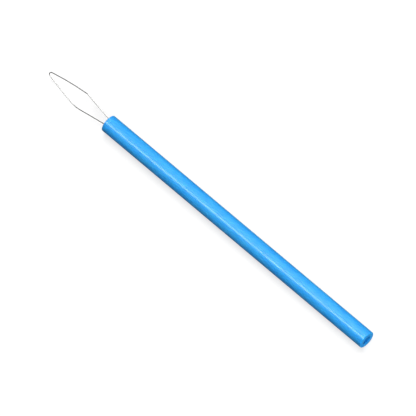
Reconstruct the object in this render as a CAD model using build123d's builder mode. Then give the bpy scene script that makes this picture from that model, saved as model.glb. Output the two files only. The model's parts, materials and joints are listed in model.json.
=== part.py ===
from build123d import *
import math
import os

# ---------------------------------------------------------------------------
# Needle threader: a straight plastic tube handle with one continuous spring
# wire folded into a long diamond loop at its front end.  The two wire tails run
# back into a counterbored socket in the front of the handle and are held there by
# a plug of cured adhesive.  Behind the socket the handle is hollow and open.
#
# Frame: +X along the handle towards the nose of the loop, +Y across the loop,
# +Z up.  The handle lies on the plane z = 0 and the loop is horizontal at the
# height of the handle's axis.  The origin is below the middle of the whole
# length.  All lengths in millimetres, angles in degrees.
# ---------------------------------------------------------------------------

# handle
tube_od = 4.0            # outside diameter
tube_length = 75.0
bore_d = 2.0             # bore, open at the rear end
socket_d = 2.6           # counterbore at the front end, which holds the wire
socket_depth = 13.2
outer_round = 0.16       # rounding of the outer edge of each end
inner_round = 0.10       # rounding of the inner edge of each end

# wire
wire_d = 0.2
mouth_half = 0.66        # half the wire spacing where it leaves the handle
corner_x = 7.85          # mouth to the corners of the diamond
corner_half = 1.90       # half the wire spacing at the corners
loop_reach = 17.3        # mouth to the centreline of the nose
nose_radius = 0.35       # centreline radius of the fold at the nose
nose_heading = -12.0     # heading of the left front arm where the fold begins
hinge_gap = 0.04         # clear length left on each side of a bending point

# wire tails and adhesive, measured back from the mouth
root_depth = 3.0         # where the loop leaves the tails and begins to spread
tail_reach = 12.5
plug_front = 3.0         # adhesive face, at the wall of the socket
plug_length = 10.0
meniscus = 0.20          # how deep the adhesive's faces are dished

# ---------------------------------------------------------------------------
# derived positions
# ---------------------------------------------------------------------------
total_length = tube_length + loop_reach + wire_d / 2
x_rear = -total_length / 2
x_mouth = x_rear + tube_length
x_nose = x_mouth + loop_reach
z_axis = tube_od / 2
loop_plane = Plane.XY.offset(z_axis)

slope = (corner_half - mouth_half) / corner_x
root_pt = (x_mouth - root_depth, mouth_half - slope * root_depth)
corner_pt = (x_mouth + corner_x, corner_half)
rear_heading = math.degrees(math.atan(slope))


def unit(heading):
    return (math.cos(math.radians(heading)), math.sin(math.radians(heading)))


def step(point, heading, distance):
    """The point a distance away from another, along a heading."""
    u = unit(heading)
    return (point[0] + u[0] * distance, point[1] + u[1] * distance)


def right_turn(point, heading, radius, turn):
    """The point reached by an arc that turns right by an angle."""
    h0, h1 = math.radians(heading), math.radians(heading - turn)
    return (
        point[0] + radius * (math.sin(h0) - math.sin(h1)),
        point[1] + radius * (math.cos(h1) - math.cos(h0)),
    )


# the fold at the nose is an arc that ends square to the centre line
fold_turn = 90 + nose_heading
fold_start = (
    x_nose - nose_radius * (1 + math.sin(math.radians(nose_heading))),
    nose_radius * math.cos(math.radians(nose_heading)),
)

# each front arm bows outwards: one long arc from the corner to the fold
chord_dx = fold_start[0] - corner_pt[0]
chord_dy = fold_start[1] - corner_pt[1]
chord = math.hypot(chord_dx, chord_dy)
chord_heading = math.degrees(math.atan2(chord_dy, chord_dx))
half_bow = chord_heading - nose_heading
bow_radius = chord / (2 * math.sin(math.radians(half_bow)))
corner_heading = chord_heading + half_bow
gap_turn = math.degrees(hinge_gap / bow_radius)

os.makedirs("parts", exist_ok=True)

# ---------------------------------------------------------------------------
# handle_tube: plain round tube with slightly rounded ends
# ---------------------------------------------------------------------------
with BuildPart() as handle_tube:
    with BuildSketch(Plane(origin=(x_rear, 0, z_axis), x_dir=(0, 1, 0), z_dir=(1, 0, 0))):
        Circle(tube_od / 2)
        Circle(bore_d / 2, mode=Mode.SUBTRACT)
    extrude(amount=tube_length - socket_depth)
    with BuildSketch(
        Plane(origin=(x_mouth - socket_depth, 0, z_axis), x_dir=(0, 1, 0), z_dir=(1, 0, 0))
    ):
        Circle(tube_od / 2)
        Circle(socket_d / 2, mode=Mode.SUBTRACT)
    extrude(amount=socket_depth)
    rims = handle_tube.edges().filter_by(GeomType.CIRCLE)
    ends = rims.group_by(Axis.X)[0] + rims.group_by(Axis.X)[-1]
    fillet(ends.filter_by(lambda e: e.radius > tube_od / 2 - 0.01), radius=outer_round)
    rims = handle_tube.edges().filter_by(GeomType.CIRCLE)
    ends = rims.group_by(Axis.X)[0] + rims.group_by(Axis.X)[-1]
    fillet(ends.filter_by(lambda e: e.radius < socket_d / 2 + 0.01), radius=inner_round)
handle_tube.part.label = "handle_tube"
export_step(handle_tube.part, "parts/handle_tube.step")

# ---------------------------------------------------------------------------
# wire tails: the two ends of the wire, side by side in the socket
# ---------------------------------------------------------------------------
with BuildPart() as wire_tail_left:
    with BuildSketch(
        Plane(origin=(x_mouth - tail_reach, root_pt[1], z_axis), x_dir=(0, 1, 0), z_dir=(1, 0, 0))
    ):
        Circle(wire_d / 2)
    extrude(amount=tail_reach - root_depth - hinge_gap)
wire_tail_left.part.label = "wire_tail_left"
export_step(wire_tail_left.part, "parts/wire_tail_left.step")

with BuildPart() as wire_tail_right:
    mirror(wire_tail_left.part, about=Plane.XZ)
wire_tail_right.part.label = "wire_tail_right"
export_step(wire_tail_right.part, "parts/wire_tail_right.step")

# ---------------------------------------------------------------------------
# adhesive_plug: fills the socket behind the mouth, dished at both faces, with the
# tails cast into it
# ---------------------------------------------------------------------------
plug_r = socket_d / 2
front_wall = x_mouth - plug_front
back_wall = front_wall - plug_length
dish_radius = (plug_r**2 + meniscus**2) / (2 * meniscus)
mid_dish = meniscus - (dish_radius - math.sqrt(dish_radius**2 - (plug_r / 2) ** 2))
with BuildPart() as adhesive_plug:
    with BuildSketch(Plane.XZ):
        with BuildLine():
            Line((back_wall + meniscus, z_axis), (front_wall - meniscus, z_axis))
            ThreePointArc(
                (front_wall - meniscus, z_axis),
                (front_wall - mid_dish, z_axis + plug_r / 2),
                (front_wall, z_axis + plug_r),
            )
            Line((front_wall, z_axis + plug_r), (back_wall, z_axis + plug_r))
            ThreePointArc(
                (back_wall, z_axis + plug_r),
                (back_wall + mid_dish, z_axis + plug_r / 2),
                (back_wall + meniscus, z_axis),
            )
        make_face()
    revolve(axis=Axis((0, 0, z_axis), (1, 0, 0)), revolution_arc=360)
    add(wire_tail_left.part, mode=Mode.SUBTRACT)
    add(wire_tail_right.part, mode=Mode.SUBTRACT)
adhesive_plug.part.label = "adhesive_plug"
export_step(adhesive_plug.part, "parts/adhesive_plug.step")

# ---------------------------------------------------------------------------
# rear arms: straight spans from the tails, out of the mouth, to the corners
# ---------------------------------------------------------------------------
with BuildPart() as wire_rear_arm_left:
    with BuildLine(loop_plane) as rear_path:
        Line(
            step(root_pt, rear_heading, hinge_gap),
            step(corner_pt, rear_heading, -hinge_gap),
        )
    with BuildSketch(Plane(origin=rear_path.line @ 0, z_dir=rear_path.line % 0)):
        Circle(wire_d / 2)
    sweep()
wire_rear_arm_left.part.label = "wire_rear_arm_left"
export_step(wire_rear_arm_left.part, "parts/wire_rear_arm_left.step")

with BuildPart() as wire_rear_arm_right:
    mirror(wire_rear_arm_left.part, about=Plane.XZ)
wire_rear_arm_right.part.label = "wire_rear_arm_right"
export_step(wire_rear_arm_right.part, "parts/wire_rear_arm_right.step")

# ---------------------------------------------------------------------------
# front arms: long bowed spans from the corners to the fold at the nose
# ---------------------------------------------------------------------------
arm_start = right_turn(corner_pt, corner_heading, bow_radius, gap_turn)
with BuildPart() as wire_front_arm_left:
    with BuildLine(loop_plane) as front_path:
        bow = JernArc(
            start=arm_start,
            tangent=unit(corner_heading - gap_turn),
            radius=bow_radius,
            arc_size=-(2 * half_bow - gap_turn),
        )
        JernArc(
            start=bow @ 1,
            tangent=bow % 1,
            radius=nose_radius,
            arc_size=-(fold_turn - math.degrees(hinge_gap / nose_radius)),
        )
    with BuildSketch(Plane(origin=front_path.line @ 0, z_dir=front_path.line % 0)):
        Circle(wire_d / 2)
    sweep()
wire_front_arm_left.part.label = "wire_front_arm_left"
export_step(wire_front_arm_left.part, "parts/wire_front_arm_left.step")

with BuildPart() as wire_front_arm_right:
    mirror(wire_front_arm_left.part, about=Plane.XZ)
wire_front_arm_right.part.label = "wire_front_arm_right"
export_step(wire_front_arm_right.part, "parts/wire_front_arm_right.step")

print("x_rear", x_rear, "x_mouth", x_mouth, "x_nose", x_nose, "bow_radius", round(bow_radius, 3))
print("corner", corner_pt, "rear_heading", round(rear_heading, 4), "corner_heading", round(corner_heading, 4))
for piece in (
    handle_tube,
    adhesive_plug,
    wire_tail_left,
    wire_tail_right,
    wire_rear_arm_left,
    wire_rear_arm_right,
    wire_front_arm_left,
    wire_front_arm_right,
):
    print(piece.part.label, round(piece.part.volume, 4))
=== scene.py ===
import json
import math

import bpy
from mathutils import Matrix, Vector


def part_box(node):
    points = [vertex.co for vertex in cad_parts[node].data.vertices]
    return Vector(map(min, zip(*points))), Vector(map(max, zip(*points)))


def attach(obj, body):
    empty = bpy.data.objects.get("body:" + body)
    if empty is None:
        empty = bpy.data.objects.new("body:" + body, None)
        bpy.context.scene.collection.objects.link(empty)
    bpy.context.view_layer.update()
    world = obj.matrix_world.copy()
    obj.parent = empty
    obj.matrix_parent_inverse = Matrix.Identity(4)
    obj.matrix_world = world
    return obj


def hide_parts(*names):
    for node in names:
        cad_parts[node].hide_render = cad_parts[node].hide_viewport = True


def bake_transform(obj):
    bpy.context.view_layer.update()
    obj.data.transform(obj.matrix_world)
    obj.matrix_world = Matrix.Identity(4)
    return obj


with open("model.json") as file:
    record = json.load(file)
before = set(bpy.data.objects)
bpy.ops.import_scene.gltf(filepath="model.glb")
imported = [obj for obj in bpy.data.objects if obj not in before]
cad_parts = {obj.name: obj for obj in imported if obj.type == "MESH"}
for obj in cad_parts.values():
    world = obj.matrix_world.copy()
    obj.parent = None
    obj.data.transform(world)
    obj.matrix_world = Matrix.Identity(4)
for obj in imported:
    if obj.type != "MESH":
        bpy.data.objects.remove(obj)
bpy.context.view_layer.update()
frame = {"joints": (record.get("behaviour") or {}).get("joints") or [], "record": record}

MM = 0.001

# ---------------------------------------------------------------------------
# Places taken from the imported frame
# ---------------------------------------------------------------------------
t_lo, t_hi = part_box("handle_tube")
p_lo, p_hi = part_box("adhesive_plug")
X_REAR, X_MOUTH = t_lo.x, t_hi.x
R_OUT = (t_hi.y - t_lo.y) / 2
ZC = (t_lo.z + t_hi.z) / 2
R_SOCK = (p_hi.y - p_lo.y) / 2          # adhesive fills the socket
bore = next(m for m in frame["record"]["mounts"] if m["name"] == "rear_bore")
R_BORE = bore["dims"]["r_mm"] * MM
X_SHOULDER = X_MOUTH - 13.2 * MM        # where the wide bore meets the socket
X_PLUG0, X_PLUG1 = p_lo.x, p_hi.x
joint = {j["name"]: Vector(j["pos_m"]) for j in frame["joints"]}
ROOT = joint["left_root_flex"]
CORNER = joint["left_corner_flex"]
NOSE = joint["nose_flex"]
R_WIRE = 0.1 * MM

# ---------------------------------------------------------------------------
# Camera: long lens, looking down on the handle with its rear end towards it
# ---------------------------------------------------------------------------
cz = Vector((-0.342, 0.0, 0.940)).normalized()
cx = Vector((-0.720, -0.643, -0.262))
cx = (cx - cz * cx.dot(cz)).normalized()
cy = cz.cross(cx).normalized()
target = Vector((-0.485, 0.181, 2.0)) * MM
cam_data = bpy.data.cameras.new("view_camera")
cam_data.type = "PERSP"
cam_data.lens = 1000.0
cam_data.sensor_width = 36.0
cam_data.sensor_fit = "HORIZONTAL"
cam_data.clip_start = 0.01
cam_data.clip_end = 50.0
cam_data.dof.use_dof = False
cam = bpy.data.objects.new("view_camera", cam_data)
bpy.context.scene.collection.objects.link(cam)
rot = Matrix((cx, cy, cz)).transposed()
cam.matrix_world = Matrix.Translation(target + cz * 2.4166) @ rot.to_4x4()
bpy.context.scene.camera = cam


# ---------------------------------------------------------------------------
# Mesh helpers
# ---------------------------------------------------------------------------
def finish_mesh(name, verts, faces, sharp_deg=40.0):
    me = bpy.data.meshes.new(name)
    me.from_pydata([tuple(v) for v in verts], [], faces)
    me.validate()
    me.update()
    ob = bpy.data.objects.new(name, me)
    bpy.context.scene.collection.objects.link(ob)
    me.shade_smooth()
    me.set_sharp_from_angle(angle=math.radians(sharp_deg))
    return ob


def revolve_closed(name, ring, segs, zc):
    """Turns a closed outline of (x, r) points round the handle's axis; the
    outline goes round anticlockwise seen with x to the right and r up reversed."""
    verts, faces = [], []
    n = len(ring)
    for k in range(segs):
        a = 2 * math.pi * k / segs
        ca, sa = math.cos(a), math.sin(a)
        for (x, r) in ring:
            verts.append((x, r * ca, zc + r * sa))
    for k in range(segs):
        k2 = (k + 1) % segs
        for i in range(n):
            i2 = (i + 1) % n
            faces.append((k * n + i, k * n + i2, k2 * n + i2, k2 * n + i))
    return finish_mesh(name, verts, faces)


def arc(cx_, cr_, rad, a0, a1, n):
    return [(cx_ + rad * math.cos(math.radians(a0 + (a1 - a0) * i / n)),
             cr_ + rad * math.sin(math.radians(a0 + (a1 - a0) * i / n))) for i in range(n + 1)]


def run(x0, x1, r, step, ease=0.05 * MM):
    """Points of a straight wall from x0 to x1, not counting its ends, with a
    close pair of rings beside each end so that the rounding stays crisp."""
    s = 1 if x1 > x0 else -1
    a, b = x0 + s * ease, x1 - s * ease
    n = max(1, int(abs(b - a) / step))
    return [(a + (b - a) * i / n, r) for i in range(n + 1)]


# ---------------------------------------------------------------------------
# Handle: extruded tube, both ends cut square and slightly rounded, with the
# narrower socket for the wire at the front
# ---------------------------------------------------------------------------
RO, RI = 0.16 * MM, 0.10 * MM
outline = []
outline += arc(X_REAR + RO, R_OUT - RO, RO, 180, 90, 10)
outline += run(X_REAR + RO, X_MOUTH - RO, R_OUT, 1.2 * MM)
outline += arc(X_MOUTH - RO, R_OUT - RO, RO, 90, 0, 10)
outline += arc(X_MOUTH - RI, R_SOCK + RI, RI, 0, -90, 8)
outline += run(X_MOUTH - RI, X_SHOULDER, R_SOCK, 1.2 * MM)
outline += [(X_SHOULDER, R_SOCK), (X_SHOULDER, (R_SOCK + R_BORE) / 2), (X_SHOULDER, R_BORE)]
outline += run(X_SHOULDER, X_REAR + RI, R_BORE, 1.2 * MM)
outline += arc(X_REAR + RI, R_BORE + RI, RI, 270, 180, 8)
handle = revolve_closed("handle_barrel", outline[::-1], 144, ZC)


# ---------------------------------------------------------------------------
# Adhesive: cast plug that wets the socket wall and climbs round both wires
# ---------------------------------------------------------------------------
def plug():
    segs, rings = 96, 30
    dish = 0.20 * MM
    wires = [(ROOT.y, 0.0), (-ROOT.y, 0.0)]
    R = R_SOCK - 0.002 * MM
    verts, faces = [], []

    def face_rings(x_wall, sign, climb):
        start = len(verts)
        verts.append((x_wall - sign * dish + sign * climb * 0.25, 0.0, ZC))
        for i in range(1, rings + 1):
            r = R * i / rings
            for k in range(segs):
                a = 2 * math.pi * k / segs
                y, z = r * math.cos(a), r * math.sin(a)
                x = x_wall - sign * dish * (1 - (r / R) ** 2)
                rise = 0.0
                for (wy, wz) in wires:
                    d = max(0.0, math.hypot(y - wy, z - wz) - R_WIRE)
                    rise = max(rise, climb * math.exp(-d / (0.09 * MM)))
                # faint unevenness of a drop that set where it was
                x += sign * 0.012 * MM * math.sin(3.1 * a + 1.3) * (r / R) * (1 - r / R) * 4
                verts.append((x + sign * rise * (1 - (r / R) ** 6), y, ZC + z))
        return start

    f = face_rings(X_PLUG1, 1, 0.13 * MM)
    b = face_rings(X_PLUG0, -1, 0.0)

    def cap(s, flip):
        for k in range(segs):
            k2 = (k + 1) % segs
            t = (s, s + 1 + k, s + 1 + k2)
            faces.append(t if not flip else t[::-1])
            for i in range(rings - 1):
                a0 = s + 1 + i * segs
                a1 = a0 + segs
                q = (a0 + k, a1 + k, a1 + k2, a0 + k2)
                faces.append(q if not flip else q[::-1])

    cap(f, False)
    cap(b, True)
    ef, eb = f + 1 + (rings - 1) * segs, b + 1 + (rings - 1) * segs
    for k in range(segs):
        k2 = (k + 1) % segs
        faces.append((ef + k, eb + k, eb + k2, ef + k2))
    return finish_mesh("adhesive_cast", verts, faces, 60)


glue = plug()


# ---------------------------------------------------------------------------
# Wire: one spring wire, both tails in the adhesive, bent out at the mouth, in
# at the two corners and round at the nose
# ---------------------------------------------------------------------------
def fillet_path(pts, radii, step):
    """Rounds the corners of a flat polyline and returns evenly spaced points."""
    out = [Vector(pts[0])]
    for i in range(1, len(pts) - 1):
        p0, p1, p2 = Vector(pts[i - 1]), Vector(pts[i]), Vector(pts[i + 1])
        d0, d1 = (p0 - p1).normalized(), (p2 - p1).normalized()
        ang = math.acos(max(-1, min(1, d0.dot(d1))))
        turn = math.pi - ang
        r = radii[i]
        if r <= 0 or turn < 1e-5:
            out.append(p1)
            continue
        tl = r * math.tan(turn / 2)
        a, b = p1 + d0 * tl, p1 + d1 * tl
        mid = (d0 + d1).normalized()
        c = p1 + mid * (r / math.cos(turn / 2))
        va, vb = a - c, b - c
        n = max(6, int(turn / math.radians(3.0)))
        cr = va.x * vb.y - va.y * vb.x
        sgn = 1 if cr > 0 else -1
        for k in range(n + 1):
            th = sgn * turn * k / n
            out.append(c + Vector((va.x * math.cos(th) - va.y * math.sin(th),
                                   va.x * math.sin(th) + va.y * math.cos(th))))
    out.append(Vector(pts[-1]))
    dense = [out[0]]
    for a, b in zip(out, out[1:]):
        L = (b - a).length
        if L < 1e-9:
            continue
        n = max(1, int(math.ceil(L / step)))
        for k in range(1, n + 1):
            dense.append(a.lerp(b, k / n))
    return dense


def sweep(name, path, radius, sides=20):
    """Round wire along a flat path at the height of the handle's axis."""
    verts, faces = [], []
    n = len(path)
    for i, p in enumerate(path):
        t = (path[min(i + 1, n - 1)] - path[max(i - 1, 0)]).normalized()
        nx, ny = -t.y, t.x
        for k in range(sides):
            a = 2 * math.pi * k / sides
            u, w = radius * math.cos(a), radius * math.sin(a)
            verts.append((p.x + nx * u, p.y + ny * u, ZC + w))
    for i in range(n - 1):
        for k in range(sides):
            k2 = (k + 1) % sides
            faces.append((i * sides + k, i * sides + k2, (i + 1) * sides + k2, (i + 1) * sides + k))
    faces.append(tuple(range(sides))[::-1])
    faces.append(tuple((n - 1) * sides + k for k in range(sides)))
    return finish_mesh(name, verts, faces, 50)


# the nose: a tight fold, narrower than a half circle, ending the two front arms
NR = 0.35 * MM
HEAD = math.radians(12.0)
fold_c = Vector((NOSE.x - NR, 0.0))
fold = []
for k in range(25):
    th = math.radians(78.0) * (1 - 2 * k / 24)
    fold.append(fold_c + Vector((NR * math.cos(th), NR * math.sin(th))))
fold_start = fold[0]                                    # left side, y > 0


def front_arm(sign, n=40):
    """From the corner to where the fold starts; bowed outwards a little."""
    c = Vector((CORNER.x, abs(CORNER.y)))
    e = Vector((fold_start.x, fold_start.y))
    chord = e - c
    L = chord.length
    nrm = Vector((-chord.y, chord.x)).normalized()      # outwards on the left side
    R = 112.858 * MM
    sag = R - math.sqrt(R * R - (L / 2) ** 2)
    pts = []
    for k in range(n + 1):
        s = k / n
        h = sag * (1 - (2 * s - 1) ** 2)
        p = c + chord * s + nrm * h
        pts.append(Vector((p.x, sign * p.y)))
    return pts


X_TAIL = X_PLUG0 + 0.5 * MM
root_l = Vector((ROOT.x, abs(ROOT.y)))
corner_l = Vector((CORNER.x, abs(CORNER.y)))


def lean(p, sign):
    """A hand-bent loop isn't quite true: its front half leans to the right and
    its left corner stands in a little, always within the frame's own width."""
    knots = [(ROOT.x, 0.0, 0.0), (X_MOUTH, 0.03, 0.07), (CORNER.x - 1.5 * MM, 0.02, 0.07),
             (CORNER.x, 0.0, 0.04), (CORNER.x + 2.5 * MM, 0.09, 0.06), (CORNER.x + 5.5 * MM, 0.17, 0.12),
             (NOSE.x - 0.5 * MM, 0.19, 0.16), (NOSE.x + 1 * MM, 0.17, 0.17)]
    x = p.x
    if x <= knots[0][0]:
        return p
    for k0, k1 in zip(knots, knots[1:]):
        if x <= k1[0]:
            u = (x - k0[0]) / (k1[0] - k0[0])
            r = k0[1] + (k1[1] - k0[1]) * u
            l = k0[2] + (k1[2] - k0[2]) * u
            return Vector((p.x, p.y - (l if sign > 0 else r) * MM))
    return p


def side(sign, corner_r, corner_in):
    """The whole wire of one side from its tail to the start of the fold."""
    c = Vector((corner_l.x, sign * (corner_l.y - corner_in)))
    arm = front_arm(sign)
    q1 = arm[10]
    pts = [Vector((X_TAIL, sign * root_l.y)), Vector((root_l.x, sign * root_l.y)), c, q1]
    path = fillet_path(pts, [0, 1.2 * MM, corner_r, 0], 0.25 * MM)
    rest = arm[11:]
    return [lean(q, sign) for q in path + rest]


left = side(1, 9.0 * MM, 0.0)
right = side(-1, 0.9 * MM, 0.0)


def split(path, xs):
    """Cuts a side at the stations xs and puts a shared ring at each cut."""
    parts, cur, xi = [], [path[0]], 0
    for a, b in zip(path, path[1:]):
        while xi < len(xs) and a.x < xs[xi] <= b.x:
            t = (xs[xi] - a.x) / (b.x - a.x)
            m = a.lerp(b, t)
            if (m - cur[-1]).length > 1e-7:
                cur.append(m)
            parts.append(cur)
            cur = [m]
            xi += 1
        if (b - cur[-1]).length > 1e-7:
            cur.append(b)
    parts.append(cur)
    return parts


XA = (ROOT.x + CORNER.x) / 2
XB = (CORNER.x + NOSE.x) / 2
la, lb, lc = split(left, [XA, XB])
rt, ra, rb, rc = split(right, [ROOT.x + 0.6 * MM, XA, XB])
fold = [Vector((q.x, q.y + (lc[-1].y - fold[0].y) * (0.5 + 0.5 * q.y / abs(fold[0].y))
                + (rc[-1].y - fold[-1].y) * (0.5 - 0.5 * q.y / abs(fold[0].y)))) for q in fold]
nose_path = lc + fold[1:-1] + rc[::-1]

w_left_root = sweep("wire_left_root", la, R_WIRE)
w_left_corner = sweep("wire_left_corner", lb, R_WIRE)
w_nose = sweep("wire_nose", nose_path, R_WIRE, 24)
w_right_corner = sweep("wire_right_corner", rb, R_WIRE)
w_right_arm = sweep("wire_right_arm", ra, R_WIRE)
w_right_tail = sweep("wire_right_tail", rt, R_WIRE)

# ---------------------------------------------------------------------------
# Materials
# ---------------------------------------------------------------------------
def new_mat(name):
    m = bpy.data.materials.new(name)
    m.use_nodes = True
    nt = m.node_tree
    return m, nt, nt.nodes["Principled BSDF"]


def link(nt, a, ao, b, bi):
    nt.links.new(a.outputs[ao], b.inputs[bi])


def noise(nt, coords, scale_xyz, scale, detail, rough, loc=(0, 0, 0), distortion=0.0):
    mp = nt.nodes.new("ShaderNodeMapping")
    mp.inputs["Scale"].default_value = scale_xyz
    mp.inputs["Location"].default_value = loc
    nt.links.new(coords, mp.inputs["Vector"])
    n = nt.nodes.new("ShaderNodeTexNoise")
    n.inputs["Scale"].default_value = scale
    n.inputs["Detail"].default_value = detail
    n.inputs["Roughness"].default_value = rough
    n.inputs["Distortion"].default_value = distortion
    nt.links.new(mp.outputs["Vector"], n.inputs["Vector"])
    return n


def ramp(nt, src, stops):
    r = nt.nodes.new("ShaderNodeValToRGB")
    el = r.color_ramp.elements
    while len(el) < len(stops):
        el.new(0.5)
    for e, (pos, col) in zip(el, stops):
        e.position = pos
        e.color = (*col, 1.0) if len(col) == 3 else col
    nt.links.new(src, r.inputs["Fac"])
    return r


def maprange(nt, src, lo, hi, a, b):
    r = nt.nodes.new("ShaderNodeMapRange")
    r.inputs["From Min"].default_value = lo
    r.inputs["From Max"].default_value = hi
    r.inputs["To Min"].default_value = a
    r.inputs["To Max"].default_value = b
    nt.links.new(src, r.inputs["Value"])
    return r


def bump(nt, src, strength, distance, normal=None):
    b = nt.nodes.new("ShaderNodeBump")
    b.inputs["Strength"].default_value = strength
    b.inputs["Distance"].default_value = distance
    nt.links.new(src, b.inputs["Height"])
    if normal is not None:
        nt.links.new(normal, b.inputs["Normal"])
    return b


def plastic():
    m, nt, b = new_mat("blue_plastic_extruded")
    tc = nt.nodes.new("ShaderNodeTexCoord").outputs["Object"]
    # pigment that mixed unevenly: long streaks and small round clouds
    streaks = noise(nt, tc, (40, 900, 900), 1.0, 3.0, 0.55)
    clouds = noise(nt, tc, (450, 900, 900), 1.0, 2.0, 0.5, (3, 5, 1))
    mixf = nt.nodes.new("ShaderNodeMix")
    mixf.data_type = "FLOAT"
    mixf.inputs["Factor"].default_value = 0.6
    nt.links.new(streaks.outputs["Fac"], mixf.inputs["A"])
    nt.links.new(clouds.outputs["Fac"], mixf.inputs["B"])
    col = ramp(nt, mixf.outputs["Result"], [
        (0.30, (0.017, 0.327, 0.862)),
        (0.50, (0.028, 0.376, 0.903)),
        (0.70, (0.041, 0.423, 0.913)),
    ])
    nt.links.new(col.outputs["Color"], b.inputs["Base Color"])
    # die lines along the extrusion, with a fine handled matt over them
    lines = noise(nt, tc, (25, 5200, 5200), 1.0, 2.0, 0.6, (7, 2, 4))
    pores = noise(nt, tc, (2600, 2600, 2600), 1.0, 3.0, 0.6, (1, 1, 9))
    rg = maprange(nt, pores.outputs["Fac"], 0.3, 0.7, 0.26, 0.35)
    nt.links.new(rg.outputs["Result"], b.inputs["Roughness"])
    b1 = bump(nt, lines.outputs["Fac"], 0.14, 0.000012)
    b2 = bump(nt, pores.outputs["Fac"], 0.05, 0.000003, b1.outputs["Normal"])
    nt.links.new(b2.outputs["Normal"], b.inputs["Normal"])
    b.inputs["IOR"].default_value = 1.49
    b.inputs["Specular IOR Level"].default_value = 0.5
    b.inputs["Subsurface Weight"].default_value = 0.12
    b.inputs["Subsurface Radius"].default_value = (0.15, 0.5, 1.0)
    b.inputs["Subsurface Scale"].default_value = 0.0004
    return m


def steel():
    m, nt, b = new_mat("spring_wire_drawn")
    tc = nt.nodes.new("ShaderNodeTexCoord").outputs["Object"]
    drawn = noise(nt, tc, (260, 26000, 26000), 1.0, 2.0, 0.6)
    patch = noise(nt, tc, (500, 3000, 3000), 1.0, 3.0, 0.55, (2, 8, 3))
    col = ramp(nt, patch.outputs["Fac"], [
        (0.32, (0.57, 0.565, 0.555)),
        (0.55, (0.66, 0.655, 0.645)),
        (0.75, (0.73, 0.725, 0.715)),
    ])
    nt.links.new(col.outputs["Color"], b.inputs["Base Color"])
    rg = maprange(nt, drawn.outputs["Fac"], 0.3, 0.7, 0.15, 0.22)
    nt.links.new(rg.outputs["Result"], b.inputs["Roughness"])
    bp = bump(nt, drawn.outputs["Fac"], 0.10, 0.000002)
    nt.links.new(bp.outputs["Normal"], b.inputs["Normal"])
    b.inputs["Metallic"].default_value = 1.0
    return m


def amber():
    m, nt, b = new_mat("adhesive_cured")
    tc = nt.nodes.new("ShaderNodeTexCoord").outputs["Object"]
    cloud = noise(nt, tc, (1800, 1800, 1800), 1.0, 4.0, 0.6, (5, 5, 5))
    col = ramp(nt, cloud.outputs["Fac"], [
        (0.30, (0.50, 0.34, 0.13)),
        (0.55, (0.66, 0.52, 0.27)),
        (0.78, (0.74, 0.64, 0.40)),
    ])
    nt.links.new(col.outputs["Color"], b.inputs["Base Color"])
    rg = maprange(nt, cloud.outputs["Fac"], 0.3, 0.7, 0.12, 0.24)
    nt.links.new(rg.outputs["Result"], b.inputs["Roughness"])
    bp = bump(nt, cloud.outputs["Fac"], 0.15, 0.00001)
    nt.links.new(bp.outputs["Normal"], b.inputs["Normal"])
    b.inputs["IOR"].default_value = 1.5
    b.inputs["Subsurface Weight"].default_value = 0.35
    b.inputs["Subsurface Radius"].default_value = (1.0, 0.7, 0.35)
    b.inputs["Subsurface Scale"].default_value = 0.0003
    return m


M_PLASTIC, M_STEEL, M_AMBER = plastic(), steel(), amber()
WIRES = [w_left_root, w_left_corner, w_nose, w_right_corner, w_right_arm, w_right_tail]
handle.data.materials.append(M_PLASTIC)
glue.data.materials.append(M_AMBER)
for w in WIRES:
    w.data.materials.append(M_STEEL)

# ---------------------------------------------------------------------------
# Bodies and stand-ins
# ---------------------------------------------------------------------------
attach(handle, "handle")
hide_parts("handle_tube")
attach(glue, "handle")
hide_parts("adhesive_plug")

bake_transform(w_left_root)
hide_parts("wire_tail_left", "wire_rear_arm_left")
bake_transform(w_left_corner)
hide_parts("wire_front_arm_left")
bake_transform(w_nose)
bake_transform(w_right_corner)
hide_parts("wire_front_arm_right")
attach(w_right_arm, "rear_arm_right")
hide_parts("wire_rear_arm_right")
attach(w_right_tail, "handle")
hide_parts("wire_tail_right")

# ---------------------------------------------------------------------------
# Floor and light
# ---------------------------------------------------------------------------
def floor():
    n, s = 40, 20.0
    verts = [((i / n - 0.5) * s, (j / n - 0.5) * s, -0.00001) for j in range(n + 1) for i in range(n + 1)]
    faces = [(j * (n + 1) + i, j * (n + 1) + i + 1, (j + 1) * (n + 1) + i + 1, (j + 1) * (n + 1) + i)
             for j in range(n) for i in range(n)]
    me = bpy.data.meshes.new("studio_floor")
    me.from_pydata(verts, [], faces)
    me.update()
    ob = bpy.data.objects.new("studio_floor", me)
    bpy.context.scene.collection.objects.link(ob)
    m = bpy.data.materials.new("studio_floor_white")
    m.use_nodes = True
    b = m.node_tree.nodes["Principled BSDF"]
    b.inputs["Base Color"].default_value = (0.34, 0.34, 0.34, 1)
    b.inputs["Roughness"].default_value = 0.9
    b.inputs["Specular IOR Level"].default_value = 0.1
    b.inputs["Emission Color"].default_value = (1.0, 1.0, 1.0, 1)
    b.inputs["Emission Strength"].default_value = 0.68
    me.materials.append(m)
    ob.visible_glossy = False               # low fill, as against a dark surround
    ob.visible_diffuse = False
    return ob


floor()


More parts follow.
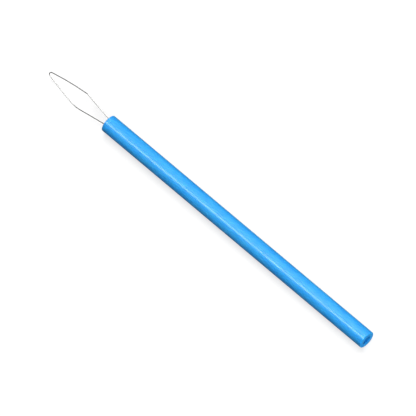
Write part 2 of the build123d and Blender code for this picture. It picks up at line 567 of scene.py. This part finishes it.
def area(name, direction, distance, size, size_y, watts, long_axis=None, colour=(1, 1, 1)):
    d = Vector(direction).normalized()
    li = bpy.data.lights.new(name, "AREA")
    li.shape = "RECTANGLE"
    li.size, li.size_y = size, size_y
    li.energy = watts
    li.color = colour
    ob = bpy.data.objects.new(name, li)
    bpy.context.scene.collection.objects.link(ob)
    zx = d
    ax = Vector(long_axis) if long_axis else Vector((1, 0, 0))
    ax = (ax - zx * ax.dot(zx)).normalized()
    ay = zx.cross(ax).normalized()
    r = Matrix((ax, ay, zx)).transposed()
    ob.matrix_world = Matrix.Translation(d * distance + Vector((0, 0, ZC))) @ r.to_4x4()
    ob.visible_camera = False
    return ob


key = area("key_softbox", (0.05, -0.42, 0.905), 1.3, 0.8, 0.8, 14.0)
key.visible_glossy = False              # its gloss would double the streak
area("side_panel", (0.18, -0.72, 0.66), 1.5, 0.5, 2.2, 5.2)
strip = area("streak_strip", (0.34, 0.13, 0.93), 0.9, 1.2, 0.15, 7.3)
strip.visible_diffuse = False
lit = bpy.data.collections.new("streak_receivers")
for o in (handle, glue):
    lit.objects.link(o)
strip.light_linking.receiver_collection = lit
spark = area("wire_light", (0.213, -0.72, 0.66), 1.2, 0.22, 1.3, 3.2)
wires_lit = bpy.data.collections.new("wire_receivers")
for o in WIRES:
    wires_lit.objects.link(o)
spark.light_linking.receiver_collection = wires_lit
sky = area("wire_sky", (0.0, 0.10, 1.0), 1.6, 3.6, 3.6, 7.0)
sky.light_linking.receiver_collection = wires_lit
fill = area("rear_fill", (-0.90, 0.10, 0.42), 1.0, 0.6, 0.6, 8.0)
fill.visible_glossy = False

world = bpy.data.worlds.new("studio_world")
world.use_nodes = True
wnt = world.node_tree
bg = wnt.nodes["Background"]                    # what lights the object
bg.inputs["Color"].default_value = (1.0, 1.0, 1.0, 1.0)
bg.inputs["Strength"].default_value = 0.10
wall = wnt.nodes.new("ShaderNodeBackground")    # the pale wall behind the floor
wall.inputs["Color"].default_value = (1.0, 1.0, 1.0, 1.0)
wall.inputs["Strength"].default_value = 0.93
path_kind = wnt.nodes.new("ShaderNodeLightPath")
both = wnt.nodes.new("ShaderNodeMixShader")
wnt.links.new(path_kind.outputs["Is Camera Ray"], both.inputs["Fac"])
wnt.links.new(bg.outputs["Background"], both.inputs[1])
wnt.links.new(wall.outputs["Background"], both.inputs[2])
wnt.links.new(both.outputs["Shader"], wnt.nodes["World Output"].inputs["Surface"])
bpy.context.scene.world = world
bpy.context.scene.view_settings.view_transform = "Standard"
bpy.context.scene.view_settings.look = "None"
